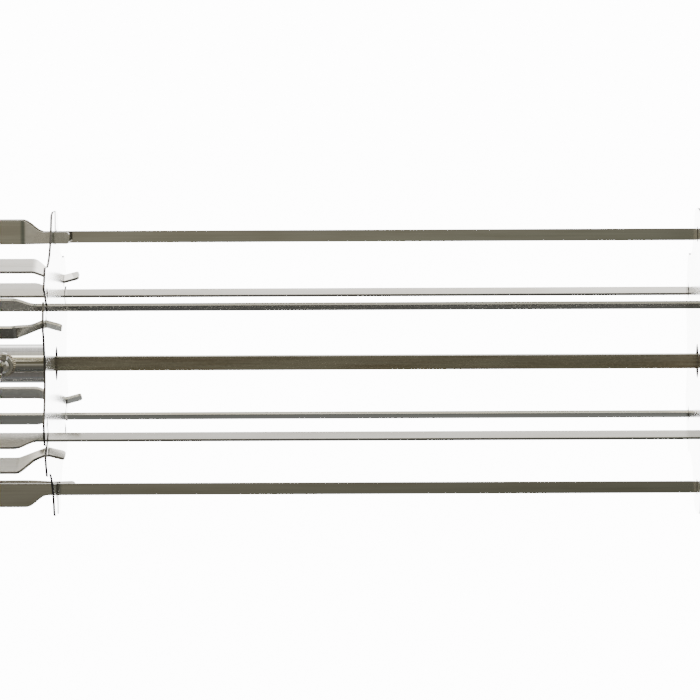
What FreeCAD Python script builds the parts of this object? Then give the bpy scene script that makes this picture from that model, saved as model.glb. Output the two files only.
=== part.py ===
import FreeCAD, Part
import os
import Sketcher

from FreeCAD import Placement, Rotation, Vector

# Rotisserie spit roaster: a square spit carries two six-lobed wheels, each clamped by a wing screw,
# and six flat skewers lie round the spit between them.  Every skewer is one strip, bent back on
# itself at the handle end; the short leg is a spring whose bent end snaps into the left wheel.
#
# Millimetres.  +X runs along the spit towards the skewer tips and the drive end, +Z is up.
# The origin is the centre of the support bush at the handle end.

doc = FreeCAD.newDocument("rotisserie_spit_roaster")

# ---------------------------------------------------------------- driving dimensions
DRIVING = {
    # support bush and the spit's turned end, stations along X from the origin
    "bush_bore_radius": 4.75,
    "bush_radius": 10.0,
    "bush_flange_radius": 14.0,
    "bush_half_length": 8.0,
    "bush_flange_face": 5.0,
    "journal_radius": 4.7,
    "journal_end": 13.0,
    "journal_chamfer_end": 12.2,
    "journal_nose_radius": 3.9,
    "groove_radius": 3.7,
    "groove_near": 8.3,
    "groove_far": 9.5,
    "clip_near": 8.4,
    "clip_far": 9.4,
    "clip_radius": 7.0,
    "clip_bore_radius": 3.75,
    "clip_turn": 300.0,
    "washer_near": 8.3,
    "washer_bore_radius": 4.9,
    "washer_radius": 9.0,
    "spit_side": 9.5,
    "spit_shoulder": 9.5,
    "spit_end": 740.0,
    "spit_end_chamfer": 1.2,
    # wheels
    "left_plate_outer_face": 148.5,
    "right_plate_inner_face": 580.0,
    "plate_thickness": 1.5,
    "plate_tip_radius": 102.5,
    "lobe_corner_radius": 7.0,
    "valley_radius": 43.2,
    "valley_centre": 128.0,
    "hub_hole_radius": 11.5,
    "slot_floor": 80.0,
    "slot_mouth": 112.0,
    "slot_corner_radius": 2.0,
    "slot_tab_side": 3.8,
    "slot_far_side": 4.5,
    "latch_hole_near": 7.2,
    "latch_hole_far": 13.4,
    "latch_hole_floor": 80.5,
    "latch_hole_top": 89.5,
    "guide_hole_half_width": 3.9,
    "guide_hole_top": 90.0,
    # hubs, measured outwards from the plate's outer face
    "hub_length": 50.0,
    "hub_radius": 13.0,
    "hub_bore_radius": 11.5,
    "hub_chamfer": 0.6,
    "guide_disc_length": 4.0,
    "inner_disc_start": 6.0,
    "outer_disc_start": 45.5,
    "guide_square": 10.2,
    "screw_station": 32.5,
    "screw_hole_radius": 3.4,
    "boss_radius": 6.75,
    "boss_height": 22.0,
    "boss_foot": 8.0,
    "boss_bore_radius": 3.06,
    # wing screw, measured out from the spit's axis
    "screw_tip": 4.8,
    "screw_radius": 3.0,
    "screw_collar_start": 22.4,
    "screw_collar_end": 25.4,
    "screw_collar_radius": 4.6,
    "wing_thickness": 3.0,
    "wing_root_half": 3.2,
    "wing_waist": 28.0,
    "wing_tip": 34.0,
    "wing_half_span": 10.0,
    "wing_inner_half": 4.4,
    "wing_shoulder": 30.0,
    "wing_corner_radius": 1.6,
    "wing_tilt": 14.0,
    # skewers
    "blade_inner_edge": 81.0,
    "blade_width": 8.0,
    "handle_width": 16.0,
    "strip_half_thickness": 1.0,
    "leg_spacing": 20.0,
    "loop_centre": 76.0,
    "leg_joint": 80.0,
    "taper_start": 129.0,
    "taper_end": 142.5,
    "skewer_tip": 599.5,
    "tip_taper_length": 22.0,
    "tip_half_width": 0.8,
    "notch_offset": 12.0,
    "ramp_start": 130.0,
    "notch_start": 147.9,
    "notch_end": 150.6,
    "tab_end": 160.6,
    "tab_flare": 3.0,
    "tab_corner_radius": 2.0,
}

# Sizes that follow from the driving ones.
DERIVED = {
    "zero": "=0",
    "half_side": "=spit_side / 2",
    "half_square": "=guide_square / 2",
    "spit_length": "=spit_end - spit_shoulder",
    "blade_outer_edge": "=blade_inner_edge + blade_width",
    "handle_outer_edge": "=blade_inner_edge + handle_width",
    "above_handle": "=blade_inner_edge + handle_width + 5",
    "below_blade": "=blade_inner_edge - 5",
    "tip_taper_start": "=skewer_tip - tip_taper_length",
    "past_tip": "=skewer_tip + 5",
    "tip_low": "=blade_inner_edge + blade_width / 2 - tip_half_width",
    "tip_high": "=blade_inner_edge + blade_width / 2 + tip_half_width",
    "leg_inner_face": "=leg_spacing - strip_half_thickness",
    "leg_outer_face": "=leg_spacing + strip_half_thickness",
    "loop_middle": "=leg_spacing / 2",
    "loop_inner_crown": "=loop_centre - leg_spacing / 2 + strip_half_thickness",
    "loop_outer_crown": "=loop_centre - leg_spacing / 2 - strip_half_thickness",
    "notch_inner": "=notch_offset - strip_half_thickness",
    "notch_outer": "=notch_offset + strip_half_thickness",
    "tab_inner": "=notch_offset + tab_flare - strip_half_thickness",
    "tab_outer": "=notch_offset + tab_flare + strip_half_thickness",
    "inner_disc_end": "=inner_disc_start + guide_disc_length",
    "outer_disc_end": "=outer_disc_start + guide_disc_length",
    "hub_chamfer_start": "=hub_length - hub_chamfer",
    "hub_chamfer_radius": "=hub_radius - hub_chamfer",
    "boss_length": "=boss_height - boss_foot",
}

LOBES = 6
# A cut this long, centred on an origin plane, passes through every sub-part.
THROUGH_LENGTH = 1600.0
# Vertices this close together count as one point.
SAME_POINT = 1e-6
# A plate's corner edges lie within this distance of its tip radius.
RIM_BAND = 1.0
# The ears' rounded corners start this far outside the screw's collar.
CLEAR_OF_ROOT = 1.0

sheet = doc.addObject("Spreadsheet::Sheet", "dims")
for row, (alias, value) in enumerate([*DRIVING.items(), *DERIVED.items()], start=1):
    sheet.set(f"A{row}", alias)
    sheet.set(f"B{row}", str(value))
    sheet.setAlias(f"B{row}", alias)
doc.recompute()


def length(text):
    """Value and formula of a sheet alias; a leading minus sign turns it negative."""
    name = text.lstrip("-")
    minus = text.startswith("-")
    value = float(sheet.get(name))
    return (-value, f"-dims.{name}") if minus else (value, f"dims.{name}")


def bind(item, prop, alias):
    """Tie one property to the sheet."""
    item.setExpression(prop, length(alias)[1])


# ---------------------------------------------------------------- sketch and feature helpers
def new_body(label, placement=None):
    body = doc.addObject("PartDesign::Body", label)
    body.Label = label
    if placement is not None:
        body.Placement = placement
    return body


def origin_item(body, role):
    return next(item for item in body.Origin.OriginFeatures if item.Role == role)


def new_sketch(body, plane, name, offset=None):
    sketch = body.newObject("Sketcher::SketchObject", f"{body.Label}_{name}")
    sketch.AttachmentSupport = [(origin_item(body, plane), "")]
    sketch.MapMode = "FlatFace"
    if offset is not None:
        sketch.AttachmentOffset = Placement(Vector(0, 0, length(offset)[0]), Rotation())
        bind(sketch, "AttachmentOffset.Base.z", offset)
    return sketch


def dimension(sketch, kind, references, alias):
    """Add one driving constraint whose value comes from the sheet."""
    value, formula = length(alias)
    index = sketch.addConstraint(Sketcher.Constraint(kind, *references, value))
    sketch.setExpression(f"Constraints[{index}]", formula)


def circle(sketch, radius, centre=("zero", "zero")):
    place = Vector(length(centre[0])[0], length(centre[1])[0], 0)
    ring = sketch.addGeometry(Part.Circle(place, Vector(0, 0, 1), length(radius)[0]))
    dimension(sketch, "Radius", (ring,), radius)
    dimension(sketch, "DistanceX", (-1, 1, ring, 3), centre[0])
    dimension(sketch, "DistanceY", (-1, 1, ring, 3), centre[1])


def outline(sketch, points, bends=None):
    """Closed outline through points given as pairs of aliases.

    bends maps a segment's number to (a point the arc passes, the alias of its centre's x).
    """
    bends = bends or {}
    places = [Vector(length(x)[0], length(y)[0], 0) for x, y in points]
    ends = []
    for number, start in enumerate(places):
        finish = places[(number + 1) % len(places)]
        if number not in bends:
            line = sketch.addGeometry(Part.LineSegment(start, finish))
            ends.append((line, 1, 2))
            continue
        (via_x, via_y), centre_x = bends[number]
        via = Vector(length(via_x)[0], length(via_y)[0], 0)
        arc = sketch.addGeometry(Part.Arc(start, via, finish))
        forward = sketch.getPoint(arc, 1).distanceToPoint(start) < SAME_POINT
        ends.append((arc, 1, 2) if forward else (arc, 2, 1))
        dimension(sketch, "DistanceX", (-1, 1, arc, 3), centre_x)
    for number, (edge, first, _) in enumerate(ends):
        before, _, last = ends[number - 1]
        sketch.addConstraint(Sketcher.Constraint("Coincident", before, last, edge, first))
        dimension(sketch, "DistanceX", (-1, 1, edge, first), points[number][0])
        dimension(sketch, "DistanceY", (-1, 1, edge, first), points[number][1])


def rectangle(sketch, left, right, low, high):
    outline(sketch, [(left, low), (right, low), (right, high), (left, high)])


def pad(body, sketch, size, midplane=False):
    feature = body.newObject("PartDesign::Pad", f"{sketch.Name}_pad")
    feature.Profile = sketch
    bind(feature, "Length", size)
    feature.Midplane = midplane
    return feature


def cut(body, sketch, midplane=True):
    """Pocket that has to take something away."""
    doc.recompute()
    before = body.Shape.Volume
    feature = body.newObject("PartDesign::Pocket", f"{sketch.Name}_cut")
    feature.Profile = sketch
    feature.Length = THROUGH_LENGTH
    feature.Midplane = midplane
    doc.recompute()
    if body.Shape.Volume >= before:
        raise RuntimeError(f"{feature.Name} cuts nothing")
    return feature


def turn(body, sketch, axis, angle=None):
    feature = body.newObject("PartDesign::Revolution", f"{sketch.Name}_turned")
    feature.Profile = sketch
    feature.ReferenceAxis = (origin_item(body, axis), [""])
    feature.Angle = 360.0
    if angle is not None:
        bind(feature, "Angle", angle)
    return feature


def six_times(body, feature):
    """Repeat one cut at every lobe."""
    pattern = body.newObject("PartDesign::PolarPattern", f"{feature.Name}_ring")
    pattern.Originals = [feature]
    pattern.Axis = (origin_item(body, "X_Axis"), [""])
    pattern.Angle = 360.0
    pattern.Occurrences = LOBES
    body.Tip = pattern
    doc.recompute()
    return pattern


def round_edges(body, wanted, radius):
    """Fillet the edges of the body's tip that the test accepts."""
    doc.recompute()
    base = body.Tip
    names = [f"Edge{number}" for number, edge in enumerate(base.Shape.Edges, start=1) if wanted(edge)]
    if not names:
        raise RuntimeError(f"{body.Label} has no edge to round")
    feature = body.newObject("PartDesign::Fillet", f"{body.Label}_rounding")
    feature.Base = (base, names)
    bind(feature, "Radius", radius)
    doc.recompute()
    return feature


def off_axis(edge):
    """Distance of an edge's middle from the spit's axis."""
    middle = edge.BoundBox.Center
    return Vector(0, middle.y, middle.z).Length


def runs_along(edge, direction):
    if len(edge.Vertexes) != 2 or edge.Curve.TypeId != "Part::GeomLine":
        return False
    run = edge.Vertexes[1].Point - edge.Vertexes[0].Point
    return run.cross(direction).Length < SAME_POINT * run.Length


# ---------------------------------------------------------------- spit and its support
def make_support_bush():
    """Flanged bush that rests in the roaster's side bracket; the spit turns inside it."""
    body = new_body("support_bush")
    profile = new_sketch(body, "XY_Plane", "profile")
    outline(profile, [
        ("-bush_half_length", "bush_bore_radius"),
        ("bush_half_length", "bush_bore_radius"),
        ("bush_half_length", "bush_flange_radius"),
        ("bush_flange_face", "bush_flange_radius"),
        ("bush_flange_face", "bush_radius"),
        ("-bush_half_length", "bush_radius"),
    ])
    turn(body, profile, "X_Axis")
    return body


def make_spit_rod():
    """Square bar with a turned journal and a clip groove at the handle end."""
    body = new_body("spit_rod")
    square = new_sketch(body, "YZ_Plane", "square", "spit_shoulder")
    rectangle(square, "-half_side", "half_side", "-half_side", "half_side")
    pad(body, square, "spit_length")
    journal = new_sketch(body, "XY_Plane", "journal")
    outline(journal, [
        ("-journal_end", "zero"),
        ("spit_shoulder", "zero"),
        ("spit_shoulder", "journal_radius"),
        ("-groove_near", "journal_radius"),
        ("-groove_near", "groove_radius"),
        ("-groove_far", "groove_radius"),
        ("-groove_far", "journal_radius"),
        ("-journal_chamfer_end", "journal_radius"),
        ("-journal_end", "journal_nose_radius"),
    ])
    turn(body, journal, "X_Axis")
    doc.recompute()
    base = body.Tip
    far_end = length("spit_end")[0] - SAME_POINT
    names = [f"Edge{n}" for n, edge in enumerate(base.Shape.Edges, start=1)
             if edge.BoundBox.XMin > far_end]
    chamfer = body.newObject("PartDesign::Chamfer", "spit_rod_drive_end_chamfer")
    chamfer.Base = (base, names)
    bind(chamfer, "Size", "spit_end_chamfer")
    return body


def make_thrust_washer():
    body = new_body("thrust_washer")
    profile = new_sketch(body, "XY_Plane", "profile")
    rectangle(profile, "washer_near", "spit_shoulder", "washer_bore_radius", "washer_radius")
    turn(body, profile, "X_Axis")
    return body


def make_retaining_clip():
    """Open spring ring that snaps into the journal's groove."""
    body = new_body("retaining_clip")
    profile = new_sketch(body, "XY_Plane", "profile")
    rectangle(profile, "-clip_far", "-clip_near", "clip_bore_radius", "clip_radius")
    turn(body, profile, "X_Axis", "clip_turn")
    return body


# ---------------------------------------------------------------- wheels
def make_plate(label, start, open_slots):
    """Six-lobed sheet plate; the top lobe is drawn and the others repeat it."""
    body = new_body(label)
    disc = new_sketch(body, "YZ_Plane", "disc", start)
    circle(disc, "plate_tip_radius")
    pad(body, disc, "plate_thickness")

    valley = new_sketch(body, "YZ_Plane", "valley")
    circle(valley, "valley_radius", ("valley_centre", "zero"))
    six_times(body, cut(body, valley))
    rim = length("plate_tip_radius")[0] - RIM_BAND
    round_edges(
        body,
        lambda edge: runs_along(edge, Vector(1, 0, 0)) and off_axis(edge) > rim,
        "lobe_corner_radius",
    )

    slot = new_sketch(body, "YZ_Plane", "slot")
    if open_slots:
        rectangle(slot, "-slot_tab_side", "slot_far_side", "slot_floor", "slot_mouth")
    else:
        rectangle(slot, "-guide_hole_half_width", "guide_hole_half_width",
                  "slot_floor", "guide_hole_top")
    six_times(body, cut(body, slot))

    if open_slots:
        round_edges(
            body,
            lambda edge: runs_along(edge, Vector(1, 0, 0)) and off_axis(edge) > rim,
            "slot_corner_radius",
        )
        latch = new_sketch(body, "YZ_Plane", "latch_holes")
        rectangle(latch, "-latch_hole_far", "-latch_hole_near", "latch_hole_floor", "latch_hole_top")
        rectangle(latch, "latch_hole_near", "latch_hole_far", "latch_hole_floor", "latch_hole_top")
        six_times(body, cut(body, latch))

    hub_hole = new_sketch(body, "YZ_Plane", "hub_hole")
    circle(hub_hole, "hub_hole_radius")
    cut(body, hub_hole)
    return body


def make_hub_tube(label, placement):
    """Tube welded to the plate's outer face, with a side hole for the wing screw."""
    body = new_body(label, placement)
    profile = new_sketch(body, "XY_Plane", "profile")
    outline(profile, [
        ("zero", "hub_bore_radius"),
        ("hub_length", "hub_bore_radius"),
        ("hub_length", "hub_chamfer_radius"),
        ("hub_chamfer_start", "hub_radius"),
        ("zero", "hub_radius"),
    ])
    turn(body, profile, "X_Axis")
    hole = new_sketch(body, "XZ_Plane", "screw_hole")
    circle(hole, "screw_hole_radius", ("screw_station", "zero"))
    cut(body, hole, midplane=False)
    return body


def make_guide_disc(label, placement, start, end):
    """Disc pressed into the hub tube; its square hole keeps the spit central."""
    body = new_body(label, placement)
    profile = new_sketch(body, "XY_Plane", "profile")
    rectangle(profile, start, end, "zero", "hub_bore_radius")
    turn(body, profile, "X_Axis")
    square = new_sketch(body, "YZ_Plane", "square_hole")
    rectangle(square, "-half_square", "half_square", "-half_square", "half_square")
    cut(body, square)
    return body


def cylinder_along_y(name, radius, start, size):
    post = doc.addObject("Part::Cylinder", name)
    bind(post, "Radius", radius)
    bind(post, "Height", size)
    post.Placement = Placement(Vector(0, 0, 0), Rotation(Vector(1, 0, 0), -90))
    bind(post, "Placement.Base.x", "screw_station")
    bind(post, "Placement.Base.y", start)
    return post


def make_screw_boss(label, placement):
    """Round nut welded on the tube, saddled to its curve and bored for the wing screw."""
    tube = doc.addObject("Part::Cylinder", f"{label}_tube")
    tube.Placement = Placement(Vector(0, 0, 0), Rotation(Vector(0, 1, 0), 90))
    bind(tube, "Radius", "hub_radius")
    bind(tube, "Height", "hub_length")
    waste = doc.addObject("Part::Fuse", f"{label}_waste")
    waste.Base = tube
    waste.Tool = cylinder_along_y(f"{label}_bore", "boss_bore_radius", "zero", "boss_height")
    boss = doc.addObject("Part::Cut", label)
    boss.Base = cylinder_along_y(f"{label}_post", "boss_radius", "boss_foot", "boss_length")
    boss.Tool = waste
    boss.Label = label
    boss.Placement = placement
    return boss


def make_wing_screw(label, placement):
    """Screw with a collar and two flat ears; built on the Y axis, its tip towards the spit."""
    station = Placement(Vector(length("screw_station")[0], 0, 0), Rotation())
    tilt = Placement(Vector(0, 0, 0), Rotation(Vector(0, 1, 0), -length("wing_tilt")[0]))
    body = new_body(label, placement.multiply(station).multiply(tilt))
    shank = new_sketch(body, "XY_Plane", "shank")
    outline(shank, [
        ("zero", "screw_tip"),
        ("screw_radius", "screw_tip"),
        ("screw_radius", "screw_collar_start"),
        ("screw_collar_radius", "screw_collar_start"),
        ("screw_collar_radius", "screw_collar_end"),
        ("wing_root_half", "wing_waist"),
        ("zero", "wing_waist"),
    ])
    turn(body, shank, "Y_Axis")
    ears = new_sketch(body, "YZ_Plane", "ears")
    outline(ears, [
        ("screw_collar_end", "-wing_root_half"),
        ("wing_shoulder", "-wing_half_span"),
        ("wing_tip", "-wing_half_span"),
        ("wing_tip", "-wing_inner_half"),
        ("wing_waist", "zero"),
        ("wing_tip", "wing_inner_half"),
        ("wing_tip", "wing_half_span"),
        ("wing_shoulder", "wing_half_span"),
        ("screw_collar_end", "wing_root_half"),
    ])
    pad(body, ears, "wing_thickness", midplane=True)
    round_edges(
        body,
        lambda edge: runs_along(edge, Vector(1, 0, 0))
        and abs(edge.BoundBox.Center.z) > length("wing_root_half")[0] + CLEAR_OF_ROOT,
        "wing_corner_radius",
    )
    return body


# ---------------------------------------------------------------- skewers
def narrow_the_strip(body):
    """Step the wide handle strip down to the blade's width, ahead of the left plate."""
    width = new_sketch(body, "XZ_Plane", "width")
    outline(width, [
        ("taper_start", "handle_outer_edge"),
        ("taper_end", "blade_outer_edge"),
        ("past_tip", "blade_outer_edge"),
        ("past_tip", "above_handle"),
        ("taper_start", "above_handle"),
    ])
    cut(body, width)


def make_skewer(label, placement):
    """Blade, handle loop and the start of the spring leg, bent from one flat strip."""
    body = new_body(label, placement)
    side = new_sketch(body, "XY_Plane", "side", "blade_inner_edge")
    outline(
        side,
        [
            ("leg_joint", "-leg_inner_face"),
            ("loop_centre", "-leg_inner_face"),
            ("loop_centre", "-strip_half_thickness"),
            ("skewer_tip", "-strip_half_thickness"),
            ("skewer_tip", "strip_half_thickness"),
            ("loop_centre", "strip_half_thickness"),
            ("loop_centre", "-leg_outer_face"),
            ("leg_joint", "-leg_outer_face"),
        ],
        bends={
            1: (("loop_inner_crown", "-loop_middle"), "loop_centre"),
            5: (("loop_outer_crown", "-loop_middle"), "loop_centre"),
        },
    )
    pad(body, side, "handle_width")
    narrow_the_strip(body)
    point = new_sketch(body, "XZ_Plane", "point")
    outline(point, [
        ("tip_taper_start", "blade_outer_edge"),
        ("skewer_tip", "tip_high"),
        ("past_tip", "tip_high"),
        ("past_tip", "above_handle"),
        ("tip_taper_start", "above_handle"),
    ])
    outline(point, [
        ("tip_taper_start", "blade_inner_edge"),
        ("skewer_tip", "tip_low"),
        ("past_tip", "tip_low"),
        ("past_tip", "below_blade"),
        ("tip_taper_start", "below_blade"),
    ])
    cut(body, point)
    return body


def make_spring_leg(label, placement):
    """Short leg of the strip: ramp, notch at the plate and a flared end tab."""
    body = new_body(label, placement)
    side = new_sketch(body, "XY_Plane", "side", "blade_inner_edge")
    outline(side, [
        ("leg_joint", "-leg_inner_face"),
        ("ramp_start", "-leg_inner_face"),
        ("notch_start", "-notch_inner"),
        ("notch_end", "-notch_inner"),
        ("tab_end", "-tab_inner"),
        ("tab_end", "-tab_outer"),
        ("notch_end", "-notch_outer"),
        ("notch_start", "-notch_outer"),
        ("ramp_start", "-leg_outer_face"),
        ("leg_joint", "-leg_outer_face"),
    ])
    pad(body, side, "handle_width")
    narrow_the_strip(body)
    end = length("tab_end")[0] - SAME_POINT
    round_edges(
        body,
        lambda edge: runs_along(edge, Vector(0, 1, 0)) and edge.BoundBox.Center.x > end,
        "tab_corner_radius",
    )
    return body


# ---------------------------------------------------------------- assembly
sub_parts = [make_support_bush(), make_spit_rod(), make_thrust_washer(), make_retaining_clip()]

left_face = length("left_plate_outer_face")[0]
right_face = length("right_plate_inner_face")[0] + length("plate_thickness")[0]
half_turn = Rotation(Vector(0, 0, 1), 180)
WHEELS = {
    "left": ("left_plate_outer_face", True, Placement(Vector(left_face, 0, 0), half_turn)),
    "right": ("right_plate_inner_face", False, Placement(Vector(right_face, 0, 0), Rotation())),
}
for side_name, (plate_start, has_open_slots, hub_place) in WHEELS.items():
    sub_parts += [
        make_plate(f"{side_name}_plate", plate_start, has_open_slots),
        make_hub_tube(f"{side_name}_hub_tube", hub_place),
        make_guide_disc(f"{side_name}_inner_guide_disc", hub_place, "inner_disc_start", "inner_disc_end"),
        make_guide_disc(f"{side_name}_outer_guide_disc", hub_place, "outer_disc_start", "outer_disc_end"),
        make_screw_boss(f"{side_name}_screw_boss", hub_place),
        make_wing_screw(f"{side_name}_wing_screw", hub_place),
    ]

for number in range(LOBES):
    around = Placement(Vector(0, 0, 0), Rotation(Vector(1, 0, 0), number * 360.0 / LOBES))
    sub_parts.append(make_skewer(f"skewer_{number + 1}", around))
    sub_parts.append(make_spring_leg(f"skewer_{number + 1}_spring_leg", around))

doc.recompute()

for item in doc.Objects:
    if "Invalid" in item.State or "Error" in item.State:
        raise RuntimeError(f"{item.Label} failed: {item.State}")
for part in sub_parts:
    if part.Shape.isNull() or not part.Shape.isValid():
        raise RuntimeError(f"{part.Label} has no valid shape")

os.makedirs("parts", exist_ok=True)
for part in sub_parts:
    part.Shape.exportStep(f"parts/{part.Label}.step")
    print(f"{part.Label}: {len(part.Shape.Solids)} solid, {part.Shape.Volume:.1f} mm3")
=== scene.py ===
import math

import bmesh
import bpy
from mathutils import Matrix, Vector


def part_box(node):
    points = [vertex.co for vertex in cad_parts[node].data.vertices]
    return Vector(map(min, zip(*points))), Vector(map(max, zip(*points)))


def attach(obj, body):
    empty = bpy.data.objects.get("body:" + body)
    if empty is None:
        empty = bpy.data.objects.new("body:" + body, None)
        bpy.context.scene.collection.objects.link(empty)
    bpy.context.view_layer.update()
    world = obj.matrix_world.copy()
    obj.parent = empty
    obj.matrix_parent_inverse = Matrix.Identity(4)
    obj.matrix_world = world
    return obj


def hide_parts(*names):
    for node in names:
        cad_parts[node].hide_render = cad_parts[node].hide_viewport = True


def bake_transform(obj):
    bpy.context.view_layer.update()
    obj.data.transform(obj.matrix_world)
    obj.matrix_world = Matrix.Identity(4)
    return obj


# Rotisserie spit roaster: polished lobed wheels on a heat-stained square spit, with flat skewers
# held round it.  Metres, in the CAD model's frame: +X along the spit, +Z up, camera on the -Y side.

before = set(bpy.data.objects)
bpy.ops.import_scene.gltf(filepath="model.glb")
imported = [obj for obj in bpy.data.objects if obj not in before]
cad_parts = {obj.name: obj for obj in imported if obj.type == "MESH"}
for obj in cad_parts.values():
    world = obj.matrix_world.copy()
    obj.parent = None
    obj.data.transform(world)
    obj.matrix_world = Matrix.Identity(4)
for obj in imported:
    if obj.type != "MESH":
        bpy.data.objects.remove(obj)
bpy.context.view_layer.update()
SIDES = ("left", "right")
MM = 0.001


# ---------------------------------------------------------------- camera
CAMERA_DISTANCE = 2.6
CAMERA_ELEVATION = math.radians(4.4)
CAMERA_ROLL = math.radians(-0.27)
LENS = 199.2
AIM_LEFT_OF_MIDDLE = 0.0179
AIM_ABOVE_SPIT = 0.0082


def add_camera():
    """Long-lens view of the middle of the spit from its side and a little above, slightly rolled."""
    left_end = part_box("left_plate")[1].x
    right_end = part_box("right_plate")[0].x
    middle = (left_end + right_end) / 2
    away = Vector((0, -math.cos(CAMERA_ELEVATION), math.sin(CAMERA_ELEVATION)))
    screen_up = Vector((0, math.sin(CAMERA_ELEVATION), math.cos(CAMERA_ELEVATION)))
    aim = Vector((middle - AIM_LEFT_OF_MIDDLE, 0, 0)) + screen_up * AIM_ABOVE_SPIT
    place = Vector((middle, 0, 0)) + screen_up * AIM_ABOVE_SPIT + away * CAMERA_DISTANCE
    camera = bpy.data.objects.new("camera", bpy.data.cameras.new("camera"))
    camera.data.lens = LENS
    camera.data.sensor_width = 36.0
    turn = (aim - place).to_track_quat("-Z", "Y").to_matrix().to_4x4()
    camera.matrix_world = Matrix.Translation(place) @ turn @ Matrix.Rotation(CAMERA_ROLL, 4, "Z")
    bpy.context.scene.collection.objects.link(camera)
    bpy.context.scene.camera = camera


# ---------------------------------------------------------------- node helpers
class Graph:
    """A node tree with short calls for adding and wiring nodes; keep adds to a finished tree."""

    def __init__(self, tree, keep=False):
        self.tree = tree
        if not keep:
            tree.nodes.clear()

    def feed(self, node, inputs):
        """Wire sockets and set constants on a node's inputs."""
        for key, value in inputs.items():
            if isinstance(value, bpy.types.NodeSocket):
                self.tree.links.new(value, node.inputs[key])
            else:
                node.inputs[key].default_value = value

    def add(self, kind, inputs=None, **settings):
        node = self.tree.nodes.new(kind)
        for key, value in settings.items():
            setattr(node, key, value)
        self.feed(node, inputs or {})
        return node

    def surface(self):
        """The metal shader already in the tree."""
        return next(node for node in self.tree.nodes if node.type == "BSDF_PRINCIPLED")

    def math(self, operation, first, second=0.0):
        return self.add("ShaderNodeMath", {0: first, 1: second}, operation=operation).outputs[0]

    def ramp(self, value, low, high, to_low=0.0, to_high=1.0):
        """Smooth step of value between low and high."""
        node = self.add(
            "ShaderNodeMapRange",
            {"Value": value, "From Min": low, "From Max": high, "To Min": to_low, "To Max": to_high},
            interpolation_type="SMOOTHSTEP",
        )
        return node.outputs[0]

    def blend(self, factor, first, second):
        """Mix of two colours."""
        node = self.add("ShaderNodeMix", data_type="RGBA")
        self.feed(node, {0: factor, 6: first, 7: second})
        return node.outputs[2]

    def multiply(self, first, second):
        """Product of two colours."""
        product = self.blend(1.0, first, second)
        product.node.blend_type = "MULTIPLY"
        return product

    def noise(self, place, scale, detail, roughness):
        """Noise stretched by a scale along each axis."""
        stretched = self.add("ShaderNodeMapping", {"Vector": place, "Scale": scale}).outputs[0]
        settings = {"Vector": stretched, "Scale": 1.0, "Detail": detail, "Roughness": roughness}
        return self.add("ShaderNodeTexNoise", settings).outputs[0]


# ---------------------------------------------------------------- world and floor
WHITE = (1.0, 1.0, 1.0, 1.0)
BACKDROP_STRENGTH = 14.0
FLOOR_PALE = (0.97, 0.97, 0.97, 1.0)
FLOOR_HALF = 30.0
FLOOR_HEIGHT = -0.62

# What the steel mirrors, going round the spit's axis: degrees from straight behind the object (0), with
# 90 above it, 180 at the camera's side and -90 below it; then brightness and tint.
SURROUND = (
    (-180, 0.32, (1.00, 0.96, 0.82)),
    (-176, 0.28, (1.00, 0.96, 0.81)),
    (-172, 0.14, (1.00, 0.96, 0.82)),
    (-164, 0.085, (1.00, 0.96, 0.84)),
    (-156, 0.10, (0.98, 1.00, 0.92)),
    (-143, 0.06, (0.92, 1.00, 0.94)),
    (-128, 0.11, (1.00, 0.96, 0.92)),
    (-102, 0.15, (1.00, 0.94, 0.92)),
    (-85, 0.20, (0.94, 0.98, 1.00)),
    (-63, 0.08, (1.00, 0.96, 0.92)),
    (-56, 0.085, (1.00, 0.98, 0.94)),
    (-53, 0.38, (0.96, 1.00, 0.98)),
    (-35, 0.50, (0.96, 1.00, 1.00)),
    (-18, 2.20, (1.00, 1.00, 1.00)),
    (6, 1.90, (1.00, 1.00, 1.00)),
    (30, 1.60, (1.00, 0.99, 0.97)),
    (44, 3.40, (1.00, 0.98, 0.95)),
    (56, 4.20, (1.00, 0.98, 0.96)),
    (66, 1.30, (1.00, 0.98, 0.95)),
    (90, 0.92, (1.00, 0.98, 0.95)),
    (106, 0.74, (1.00, 0.97, 0.92)),
    (124, 0.58, (1.00, 0.96, 0.88)),
    (129, 3.20, (1.00, 0.97, 0.88)),
    (134, 4.60, (1.00, 0.95, 0.80)),
    (138, 0.62, (1.00, 0.91, 0.64)),
    (157, 0.22, (1.00, 0.90, 0.60)),
    (168, 0.09, (1.00, 0.90, 0.60)),
    (176, 0.13, (1.00, 0.92, 0.70)),
    (180, 0.32, (1.00, 0.96, 0.82)),
)
# brightest value that the ramp can hold, and the strength of the backdrop's middle
SURROUND_PEAK = 5.0
CORE_STRENGTH = 12.5
# tints of the room by the camera and of the far side, to the right and to the left
ROOM_RIGHT = (0.60, 0.66, 0.62, 1.0)
ROOM_LEFT = (1.60, 1.54, 1.42, 1.0)
FAR_RIGHT = (1.60, 1.60, 1.62, 1.0)
FAR_LEFT = (0.72, 0.72, 0.70, 1.0)
# the room's two ends, low down and high up
END_LOW = (0.050, 0.046, 0.037, 1.0)
END_HIGH = (0.31, 0.295, 0.255, 1.0)


def surround_ramp(graph, turn):
    """Colour of the surround at a turn of 0..1, which stands for -180..180 degrees."""
    ramp = graph.add("ShaderNodeValToRGB", {0: turn})
    stops = ramp.color_ramp.elements
    placed = [
        ((degrees + 180.0) / 360.0, [channel * strength / SURROUND_PEAK for channel in tint] + [1.0])
        for degrees, strength, tint in SURROUND
    ]
    stops[0].color = placed[0][1]
    stops[-1].color = placed[-1][1]
    for position, colour in placed[1:-1]:
        stops.new(position).color = colour
    return ramp.outputs[0]


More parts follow.
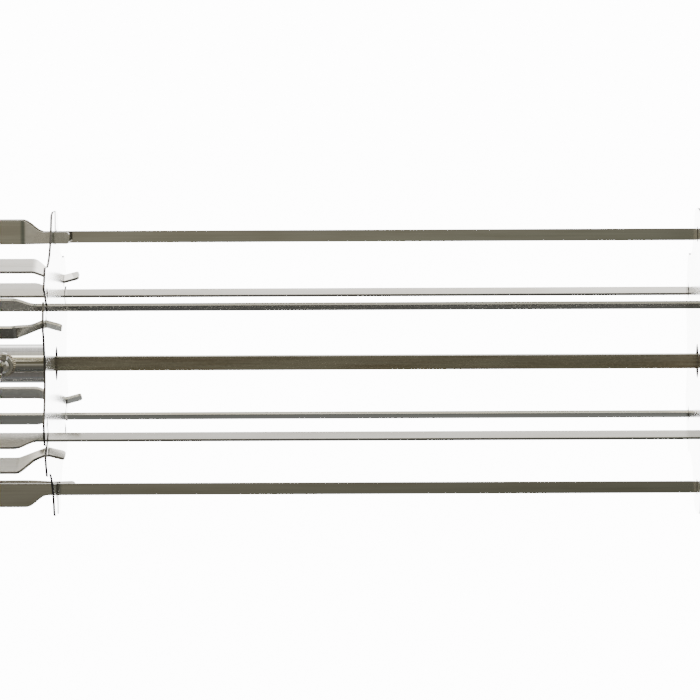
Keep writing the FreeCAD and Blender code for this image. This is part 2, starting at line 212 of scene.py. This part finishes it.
def light_the_world():
    """White backdrop for the camera; for the steel, softboxes above and a dim olive room in front.

    The limits of the ramps on axes are parts of a unit direction.
    """
    world = bpy.data.worlds.new("studio")
    bpy.context.scene.world = world
    world.use_nodes = True
    graph = Graph(world.node_tree)
    direction = graph.add("ShaderNodeTexCoord").outputs["Generated"]
    axes = graph.add("ShaderNodeSeparateXYZ", {0: direction}).outputs
    angle = graph.math("ARCTAN2", axes["Z"], axes["Y"])
    turn = graph.math("MULTIPLY_ADD", angle, 0.5 / math.pi)
    turn.node.inputs[2].default_value = 0.5
    around = surround_ramp(graph, turn)
    # the room behind the camera is brighter to the left and dimmer, greener, to the right
    near_side = graph.ramp(axes["Y"], 0.0, -0.4)
    leftward = graph.ramp(axes["X"], 0.30, -0.35)
    room = graph.blend(leftward, ROOM_RIGHT, ROOM_LEFT)
    room = graph.blend(near_side, graph.blend(leftward, FAR_RIGHT, FAR_LEFT), room)
    around = graph.multiply(around, room)
    sideways = graph.math("ABSOLUTE", axes["X"])
    # the part of the backdrop that the plates' inner faces mirror towards the camera
    centred = graph.ramp(sideways, 0.50, 0.25)
    below = graph.ramp(axes["Z"], 0.03, -0.01)
    above = graph.ramp(axes["Z"], -0.32, -0.17)
    straight = graph.ramp(axes["Y"], 0.80, 0.93)
    across = graph.math("MULTIPLY", centred, straight)
    core = graph.math("MULTIPLY", across, graph.math("MULTIPLY", below, above))
    # the room's two ends: dark low down, a tall softbox higher up
    end_glow = graph.blend(graph.ramp(axes["Z"], -0.35, 0.45), END_LOW, END_HIGH)
    ends = graph.ramp(sideways, 0.40, 0.78)
    colour = graph.blend(ends, around, end_glow)
    colour = graph.blend(core, colour, [CORE_STRENGTH / SURROUND_PEAK] * 3 + [1.0])
    background = graph.add("ShaderNodeBackground", {"Color": colour, "Strength": SURROUND_PEAK})
    backdrop = graph.add("ShaderNodeBackground", {"Color": WHITE, "Strength": BACKDROP_STRENGTH})
    seen = graph.add("ShaderNodeLightPath").outputs["Is Camera Ray"]
    both = graph.add("ShaderNodeMixShader", {0: seen, 1: background.outputs[0], 2: backdrop.outputs[0]})
    graph.add("ShaderNodeOutputWorld", {"Surface": both.outputs[0]})


# ---------------------------------------------------------------- materials
# the parts of a noise's range over which stains, dark grooves and roughness come in
STAINED = (0.40, 0.68)
GROOVED = (0.30, 0.75)
ROUGHENED = (0.2, 0.8)
ROUGHNESS_SPREAD = (0.8, 1.25)
GROOVE_TINT = 0.62
GROOVE_AMOUNT = 0.30
GRAIN_DEPTH = 0.1 * MM
# how much a face looks along the spit where a plate's sheet ends and where its cut edge begins
RIM_FACING = (0.75, 0.35)
# painted shade: the dark colour given to the plates' cut edges, slot walls and bore
RIM_PAINTED_SHADE = (0.13, 0.125, 0.12, 1.0)
RIM_ROUGHNESS = 0.5
LOOP_ROUGHNESS = 0.42
SAME_POINT = 0.001 * MM
EASED_ABOVE = math.radians(32)


def new_material(name):
    material = bpy.data.materials.new(name)
    material.use_nodes = True
    return material, Graph(material.node_tree)


def steel(name, colour, stain, roughness, streaks, stain_scale, stain_amount, bump, stain_rough=0.12):
    """Bare metal: fine grain drawn out along one direction, uneven stains, roughness to match.

    streaks and stain_scale are cycles per metre along X, Y and Z.
    """
    material, graph = new_material(name)
    place = graph.add("ShaderNodeTexCoord").outputs["Object"]
    grain = graph.noise(place, streaks, 3.0, 0.55)
    blotch = graph.noise(place, stain_scale, 6.0, 0.62)
    patches = graph.ramp(blotch, *STAINED, 0.0, stain_amount)
    tint = graph.blend(patches, colour, stain)
    groove = [GROOVE_TINT * channel for channel in colour[:3]] + [1.0]
    tint = graph.blend(graph.ramp(grain, *GROOVED, 0.0, GROOVE_AMOUNT), tint, groove)
    spread = [roughness * share for share in ROUGHNESS_SPREAD]
    rough = graph.math("ADD", graph.ramp(grain, *ROUGHENED, *spread),
                       graph.math("MULTIPLY", patches, stain_rough))
    dents = graph.add("ShaderNodeBump", {"Height": grain, "Strength": bump, "Distance": GRAIN_DEPTH})
    surface = graph.add(
        "ShaderNodeBsdfPrincipled",
        {"Base Color": tint, "Metallic": 1.0, "Roughness": rough, "Normal": dents.outputs[0]},
    )
    graph.add("ShaderNodeOutputMaterial", {"Surface": surface.outputs[0]})
    return material


def dull_and_shade_the_rim(material):
    """The plates' cut edges, the faces that don't look along the spit, are duller, and painted dark as
    painted shade on the rim, slot walls and bore.
    """
    graph = Graph(material.node_tree, keep=True)
    surface = graph.surface()
    normal = graph.add("ShaderNodeNewGeometry").outputs["True Normal"]
    local = graph.add("ShaderNodeVectorTransform", {0: normal}, vector_type="NORMAL",
                      convert_from="WORLD", convert_to="OBJECT").outputs[0]
    along = graph.math("ABSOLUTE", graph.add("ShaderNodeSeparateXYZ", {0: local}).outputs["X"])
    rim = graph.ramp(along, *RIM_FACING)
    colour = surface.inputs["Base Color"].links[0].from_socket
    roughness = surface.inputs["Roughness"].links[0].from_socket
    # painted shade: the edge faces are darkened in their colour, not by the light
    tint = graph.blend(rim, colour, RIM_PAINTED_SHADE)
    rough = graph.add("ShaderNodeMix", {0: rim, 2: roughness, 3: RIM_ROUGHNESS}).outputs[0]
    graph.feed(surface, {"Base Color": tint, "Roughness": rough})


def dull_the_loops(material):
    """The inner faces of the skewers' handles, which no polishing wheel reaches, are duller."""
    graph = Graph(material.node_tree, keep=True)
    surface = graph.surface()
    inside = graph.add("ShaderNodeAttribute", attribute_name="inner_side").outputs["Fac"]
    polished = surface.inputs["Roughness"].links[0].from_socket
    rough = graph.add("ShaderNodeMix", {0: inside, 2: polished, 3: LOOP_ROUGHNESS}).outputs[0]
    graph.feed(surface, {"Roughness": rough})


def paint(names, material):
    for name in names:
        piece = bpy.data.objects[name]
        piece.data.materials.clear()
        piece.data.materials.append(material)


def finish_the_metal():
    skewer = steel("skewer_steel", (0.62, 0.61, 0.57, 1), (0.46, 0.43, 0.36, 1), 0.08,
                   (9.0, 700.0, 700.0), (9.0, 60.0, 60.0), 0.5, 0.012, 0.03)
    dull_the_loops(skewer)
    paint([f"skewer_{number + 1}_strip" for number in range(LOBES)], skewer)
    spit = steel("spit_steel", (0.56, 0.535, 0.45, 1), (0.26, 0.225, 0.165, 1), 0.26,
                 (14.0, 600.0, 600.0), (11.0, 170.0, 170.0), 0.85, 0.12, 0.25)
    paint(["spit_rod"], spit)
    plate = steel("plate_steel", (0.93, 0.93, 0.92, 1), (0.84, 0.84, 0.82, 1), 0.17,
                  (300.0, 900.0, 9.0), (20.0, 20.0, 20.0), 0.5, 0.004, 0.05)
    dull_and_shade_the_rim(plate)
    paint([f"{side}_plate" for side in SIDES], plate)
    hub = steel("hub_steel", (0.82, 0.82, 0.81, 1), (0.72, 0.71, 0.69, 1), 0.045,
                (1200.0, 12.0, 12.0), (30.0, 30.0, 30.0), 0.3, 0.003, 0.03)
    paint([f"{side}_hub_tube" for side in SIDES], hub)
    paint([f"{side}_{place}_guide_disc" for side in SIDES for place in ("inner", "outer")],
          plate)
    screw = steel("screw_steel", (0.66, 0.66, 0.65, 1), (0.42, 0.40, 0.36, 1), 0.20,
                  (500.0, 500.0, 500.0), (80.0, 80.0, 80.0), 0.5, 0.05)
    paint([f"{side}_{part}" for side in SIDES for part in ("screw_boss", "wing_screw")],
          screw)
    small = steel("small_steel", (0.58, 0.58, 0.58, 1), (0.35, 0.34, 0.32, 1), 0.25,
                  (500.0, 500.0, 500.0), (90.0, 90.0, 90.0), 0.4, 0.05)
    paint(["thrust_washer", "retaining_clip"], small)
    weld = steel("weld_metal", (0.56, 0.52, 0.44, 1), (0.30, 0.26, 0.26, 1), 0.22,
                 (260.0, 260.0, 260.0), (150.0, 150.0, 150.0), 0.8, 0.1)
    paint([f"{side}_{joint}_weld" for side in SIDES for joint in ("hub", "boss")], weld)
    bronze = steel("bush_bronze", (0.62, 0.44, 0.22, 1), (0.30, 0.20, 0.10, 1), 0.30,
                   (900.0, 60.0, 60.0), (60.0, 60.0, 60.0), 0.7, 0.05)
    paint(["support_bush"], bronze)


def ease_cad_edges():
    """Small rounded edges, in millimetres, and even shading on the CAD pieces that stay in view."""
    easing = {"spit_rod": 0.35, "support_bush": 0.5, "thrust_washer": 0.15, "retaining_clip": 0.15}
    for side in SIDES:
        easing[f"{side}_plate"] = 0.05
        easing[f"{side}_hub_tube"] = 0.2
        easing[f"{side}_screw_boss"] = 0.3
        easing[f"{side}_wing_screw"] = 0.3
    for name, width in easing.items():
        piece = bpy.data.objects[name]
        join = piece.modifiers.new("join", "WELD")
        join.merge_threshold = SAME_POINT
        edge = piece.modifiers.new("eased_edge", "BEVEL")
        edge.width = width * MM
        edge.segments = 2
        edge.limit_method = "ANGLE"
        edge.angle_limit = EASED_ABOVE
        edge.use_clamp_overlap = True
        even = piece.modifiers.new("even_shading", "WEIGHTED_NORMAL")
        even.keep_sharp = True


# ---------------------------------------------------------------- meshes
def object_from(mesh, name):
    """Smooth-shaded object made from a finished bmesh."""
    bmesh.ops.recalc_face_normals(mesh, faces=mesh.faces)
    data = bpy.data.meshes.new(name)
    mesh.to_mesh(data)
    mesh.free()
    for face in data.polygons:
        face.use_smooth = True
    piece = bpy.data.objects.new(name, data)
    bpy.context.scene.collection.objects.link(piece)
    return piece


def join_rings(mesh, first, second):
    """Faces between two rings of the same number of vertices."""
    for index in range(len(first)):
        following = (index + 1) % len(first)
        mesh.faces.new((first[index], first[following], second[following], second[index]))


# ---------------------------------------------------------------- welds
BEAD_RADIUS = 0.85 * MM
BEAD_RIPPLE = 0.16
BEAD_WANDER = 0.07
RIPPLE_SPACING = 1.3 * MM
BEAD_RINGS = 360
BEAD_SIDES = 8
BEAD_OVERLAP = 0.2 * MM
BEAD_LIFT = 0.3 * MM


def weld_bead(name, body, path, around):
    """Closed bead along a path, its thickness rippled as each dab of the weld was laid.

    path(turn) gives the bead's centre and around(turn) the loop's outward direction there.
    """
    chords = BEAD_RINGS // 2
    marks = [path(2 * math.pi * index / chords) for index in range(chords + 1)]
    length = sum((after - before).length for before, after in zip(marks, marks[1:]))
    ripples = round(length / RIPPLE_SPACING)
    mesh = bmesh.new()
    rings = []
    for index in range(BEAD_RINGS):
        turn = 2 * math.pi * index / BEAD_RINGS
        centre = path(turn)
        along = (path(turn + 0.01) - path(turn - 0.01)).normalized()
        out = around(turn)
        side = along.cross(out).normalized()
        ripple = BEAD_RIPPLE * (2 * abs(math.sin(turn * ripples / 2)) - 1)
        swell = 1 + ripple + BEAD_WANDER * math.sin(5 * turn + 1)
        ring = []
        for step in range(BEAD_SIDES):
            angle = 2 * math.pi * step / BEAD_SIDES
            offset = out * math.cos(angle) + side * math.sin(angle)
            ring.append(mesh.verts.new(centre + offset * BEAD_RADIUS * swell))
        rings.append(ring)
    for first, second in zip(rings, rings[1:] + rings[:1]):
        join_rings(mesh, first, second)
    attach(object_from(mesh, name), body)


def add_welds():
    """Beads that join each hub tube to its plate and each boss to its tube.

    The left boss points towards the camera and the right one away from it.
    """
    for side, outward in (("left", -1), ("right", 1)):
        low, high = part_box(f"{side}_plate")
        face = low.x if outward < 0 else high.x
        tube_low, tube_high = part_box(f"{side}_hub_tube")
        hub = (tube_high.z - tube_low.z) / 2
        boss_low, boss_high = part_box(f"{side}_screw_boss")
        station = (boss_low.x + boss_high.x) / 2
        boss = (boss_high.x - boss_low.x) / 2

        def plate_joint(turn, face=face, hub=hub, outward=outward):
            reach = hub + BEAD_OVERLAP
            return Vector((face + outward * BEAD_LIFT, reach * math.cos(turn), reach * math.sin(turn)))

        def boss_joint(turn, station=station, boss=boss, hub=hub, outward=outward):
            reach = boss + BEAD_OVERLAP
            height = reach * math.sin(turn)
            depth = outward * math.sqrt(hub ** 2 - height ** 2)
            return Vector((station + reach * math.cos(turn), depth, height))

        weld_bead(f"{side}_hub_weld", f"{side}_wheel", plate_joint,
                  lambda turn: Vector((0, math.cos(turn), math.sin(turn))))
        weld_bead(f"{side}_boss_weld", f"{side}_wheel", boss_joint,
                  lambda turn: Vector((math.cos(turn), 0, math.sin(turn))))


# ---------------------------------------------------------------- skewers
LEG_SPACING = 20 * MM
LOOP_CENTRE = 76 * MM
LOOP_STEP = 6
STRIP_HALF = 1 * MM
EDGE_ROUNDING = 0.14 * MM
EDGE_STEPS = 3
BLADE_INNER = 81 * MM
BLADE_WIDTH = 8 * MM
HANDLE_WIDTH = 16 * MM
TAPER = (129 * MM, 143 * MM)
LOOP_DULLNESS_END = (134 * MM, 146 * MM)
TIP_LENGTH = 22 * MM
TIP_HALF = 0.8 * MM
TIP_CURVE = 1.25
TAB_CORNER = 2 * MM
TAB_STEPS = 5
TAB_FLARE = 3 * MM
NOTCH = 12 * MM
NOTCH_RADII = (1.4 * MM, 1.6 * MM)
HALF_PLATE = 0.75 * MM
PLATE_PLAY = 0.6 * MM
RAMP_START = 130 * MM
RAMP_RADIUS = 9 * MM
LONGEST_RUN = 16 * MM
TAPER_RUN = LONGEST_RUN / 6
LOBES = 6


def rounded_path(corners, step=math.radians(7)):
    """Points along straight runs with an arc at each corner; corners are (x, y, radius)."""
    points = [Vector(corners[0][:2])]
    for before, here, after in zip(corners, corners[1:], corners[2:]):
        corner = Vector(here[:2])
        back = (Vector(before[:2]) - corner).normalized()
        ahead = (Vector(after[:2]) - corner).normalized()
        opening = back.angle(ahead)
        reach = here[2] / math.tan(opening / 2)
        centre = corner + (back + ahead).normalized() * (here[2] / math.sin(opening / 2))
        first = corner + back * reach - centre
        sweep = math.pi - opening
        if first.cross(corner + ahead * reach - centre) < 0:
            sweep = -sweep
        count = max(2, math.ceil(abs(sweep) / step))
        for index in range(count + 1):
            turn = sweep * index / count
            spun = Vector((first.x * math.cos(turn) - first.y * math.sin(turn),
                           first.x * math.sin(turn) + first.y * math.cos(turn)))
            points.append(centre + spun)
    points.append(Vector(corners[-1][:2]))
    return points


def split_runs(points):
    """Add points on long runs, closer together where the strip tapers."""
    result = [points[0]]
    for start, finish in zip(points, points[1:]):
        tapers = max(start.x, finish.x) > TAPER[0] and min(start.x, finish.x) < TAPER[1]
        step = TAPER_RUN if tapers else LONGEST_RUN
        count = max(1, math.ceil((finish - start).length / step))
        result += [start.lerp(finish, index / count) for index in range(1, count + 1)]
    return result


def smooth(value, low, high):
    """0 below low, 1 above high, eased between."""
    share = min(1.0, max(0.0, (value - low) / (high - low)))
    return share * share * (3 - 2 * share)


def strip_edges(place, tip_x, tab_x):
    """Radii of the strip's inner and outer edge at one point of its path."""
    width = HANDLE_WIDTH + (BLADE_WIDTH - HANDLE_WIDTH) * smooth(place.x, *TAPER)
    inner, outer = BLADE_INNER, BLADE_INNER + width
    if abs(place.y) < LEG_SPACING / 4:
        share = max(0.0, (place.x - (tip_x - TIP_LENGTH)) / TIP_LENGTH)
        middle = BLADE_INNER + BLADE_WIDTH / 2
        half = BLADE_WIDTH / 2 + (TIP_HALF - BLADE_WIDTH / 2) * share ** TIP_CURVE
        if share > 0:
            inner, outer = middle - half, middle + half
    else:
        left = max(0.0, TAB_CORNER - (tab_x - place.x))
        trim = TAB_CORNER - math.sqrt(max(0.0, TAB_CORNER ** 2 - left ** 2))
        inner, outer = inner + trim, outer - trim
    return inner, outer


def strip_section(half, inner, outer, rounding):
    """Rounded rectangle: offsets across the thickness and radii."""
    ring = []
    corners = ((half, outer, 0), (-half, outer, 90), (-half, inner, 180), (half, inner, 270))
    for across, radius, start in corners:
        centre = (across - math.copysign(rounding, across),
                  radius - rounding if radius == outer else radius + rounding)
        for step in range(EDGE_STEPS + 1):
            turn = math.radians(start + 90 / EDGE_STEPS * step)
            ring.append((centre[0] + rounding * math.cos(turn), centre[1] + rounding * math.sin(turn)))
    return ring


def strip_mesh(name, points, tip_x, tab_x):
    """Flat strip with eased edges swept along a path in the X-Y plane of the top skewer.

    The attribute inner_side is 1 on the handle's faces that look into its loop.
    """
    mesh = bmesh.new()
    inner_side = mesh.verts.layers.float.new("inner_side")
    rings = []
    for index, place in enumerate(points):
        before = points[max(0, index - 1)]
        after = points[min(len(points) - 1, index + 1)]
        if 0 < index < len(points) - 1:
            along = (place - before).normalized() + (after - place).normalized()
        else:
            along = after - before
        along.normalize()
        normal = Vector((-along.y, along.x))
        inner, outer = strip_edges(place, tip_x, tab_x)
        section = strip_section(STRIP_HALF, inner, outer, EDGE_ROUNDING)
        dull = 1.0 - smooth(place.x, *LOOP_DULLNESS_END)
        ring = []
        for across, radius in section:
            vertex = mesh.verts.new((place.x + normal.x * across, place.y + normal.y * across, radius))
            vertex[inner_side] = dull if across < 0 else 0.0
            ring.append(vertex)
        rings.append(ring)
    for first, second in zip(rings, rings[1:]):
        join_rings(mesh, first, second)
    mesh.faces.new(list(reversed(rings[0])))
    mesh.faces.new(rings[-1])
    piece = object_from(mesh, name)
    even = piece.modifiers.new("even_shading", "WEIGHTED_NORMAL")
    even.keep_sharp = True
    return piece


def skewer_path(tip_x, plate_x, tab_x):
    """The strip's centreline: end tab, notch, spring leg, loop, blade."""
    loop = [Vector((LOOP_CENTRE - LEG_SPACING / 2 * math.sin(math.radians(turn)),
                    -LEG_SPACING / 2 - LEG_SPACING / 2 * math.cos(math.radians(turn))))
            for turn in range(0, 181, LOOP_STEP)]
    leg = rounded_path([
        (tab_x, -NOTCH - TAB_FLARE, 0),
        (plate_x + HALF_PLATE + PLATE_PLAY, -NOTCH, NOTCH_RADII[0]),
        (plate_x - HALF_PLATE - PLATE_PLAY, -NOTCH, NOTCH_RADII[1]),
        (RAMP_START, -LEG_SPACING, RAMP_RADIUS),
        (LOOP_CENTRE, -LEG_SPACING, 0),
    ])
    tab_end = (leg[1] - leg[0]).length
    corner = [leg[0].lerp(leg[1], share / TAB_STEPS * TAB_CORNER / tab_end)
              for share in range(1, TAB_STEPS + 1)]
    return split_runs([leg[0], *corner, *leg[1:-1], *loop, Vector((tip_x, 0.0))])


def add_skewers():
    """Each skewer is one strip, spring leg and blade together, turned round the spit into place."""
    plate_x = (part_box("left_plate")[0].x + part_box("left_plate")[1].x) / 2
    tip_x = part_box("skewer_1")[1].x
    tab_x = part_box("skewer_1_spring_leg")[1].x
    for number in range(LOBES):
        name = f"skewer_{number + 1}"
        piece = strip_mesh(f"{name}_strip", skewer_path(tip_x, plate_x, tab_x), tip_x, tab_x)
        around = Matrix.Rotation(2 * math.pi * number / LOBES, 4, "X")
        piece.data.transform(around)
        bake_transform(piece)
        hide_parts(name, f"{name}_spring_leg")


def add_floor():
    """Pale floor, well below the object, seen only from above.

    The steel mirrors the surround instead of it.
    """
    corners = [(FLOOR_HALF * x, FLOOR_HALF * y, FLOOR_HEIGHT)
               for x, y in ((-1, -1), (1, -1), (1, 1), (-1, 1))]
    floor = bpy.data.meshes.new("floor")
    floor.from_pydata(corners, [], [(0, 1, 2, 3)])
    piece = bpy.data.objects.new("floor", floor)
    bpy.context.scene.collection.objects.link(piece)
    material, graph = new_material("floor")
    place = graph.add("ShaderNodeTexCoord").outputs["Object"]
    cloud = graph.add("ShaderNodeTexNoise", {"Vector": place, "Scale": 2.0}).outputs[0]
    pale = graph.blend(cloud, FLOOR_PALE, WHITE)
    bright = graph.add("ShaderNodeEmission", {"Color": pale, "Strength": BACKDROP_STRENGTH})
    clear = graph.add("ShaderNodeBsdfTransparent")
    seen = graph.add("ShaderNodeLightPath").outputs["Is Camera Ray"]
    beneath = graph.add("ShaderNodeNewGeometry").outputs["Backfacing"]
    shown = graph.math("MULTIPLY", seen, graph.math("SUBTRACT", 1.0, beneath))
    both = graph.add("ShaderNodeMixShader", {0: shown, 1: clear.outputs[0], 2: bright.outputs[0]})
    graph.add("ShaderNodeOutputMaterial", {"Surface": both.outputs[0]})
    floor.materials.append(material)


add_camera()
light_the_world()
add_floor()
add_skewers()
add_welds()
finish_the_metal()
ease_cad_edges()
